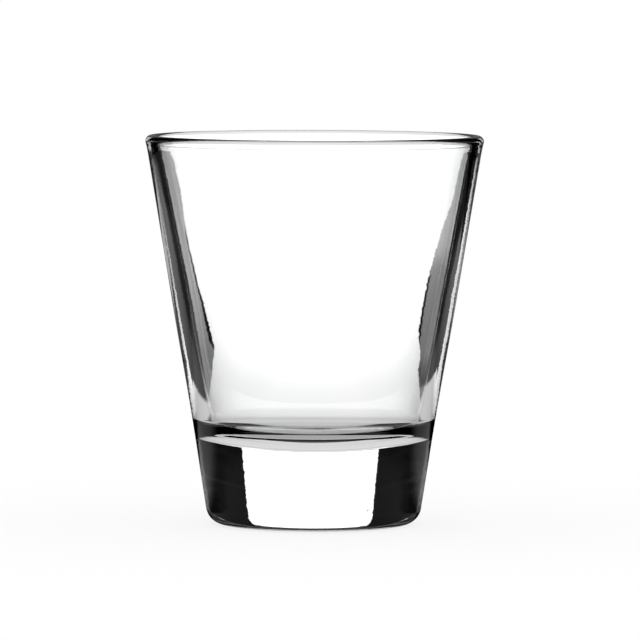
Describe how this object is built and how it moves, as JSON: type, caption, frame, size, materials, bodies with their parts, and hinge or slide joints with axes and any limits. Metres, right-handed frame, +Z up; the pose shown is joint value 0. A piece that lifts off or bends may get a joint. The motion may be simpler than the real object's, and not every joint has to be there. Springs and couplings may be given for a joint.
{
  "type": "rocks glass",
  "caption": "Short clear drinking glass with a flared round wall, a rounded lip and a heavy solid base, for spirits served over ice.",
  "frame": {"origin": "centre of the ring that the glass stands on, at its base", "axes": "+Z up along the axis of revolution, through the open mouth"},
  "size_m": [0.0826, 0.0826, 0.095],
  "materials": {
    "clear_glass": "polished clear"
  },
  "bodies": {
    "root": {"tumbler": "clear_glass"}
  },
  "joints": []
}
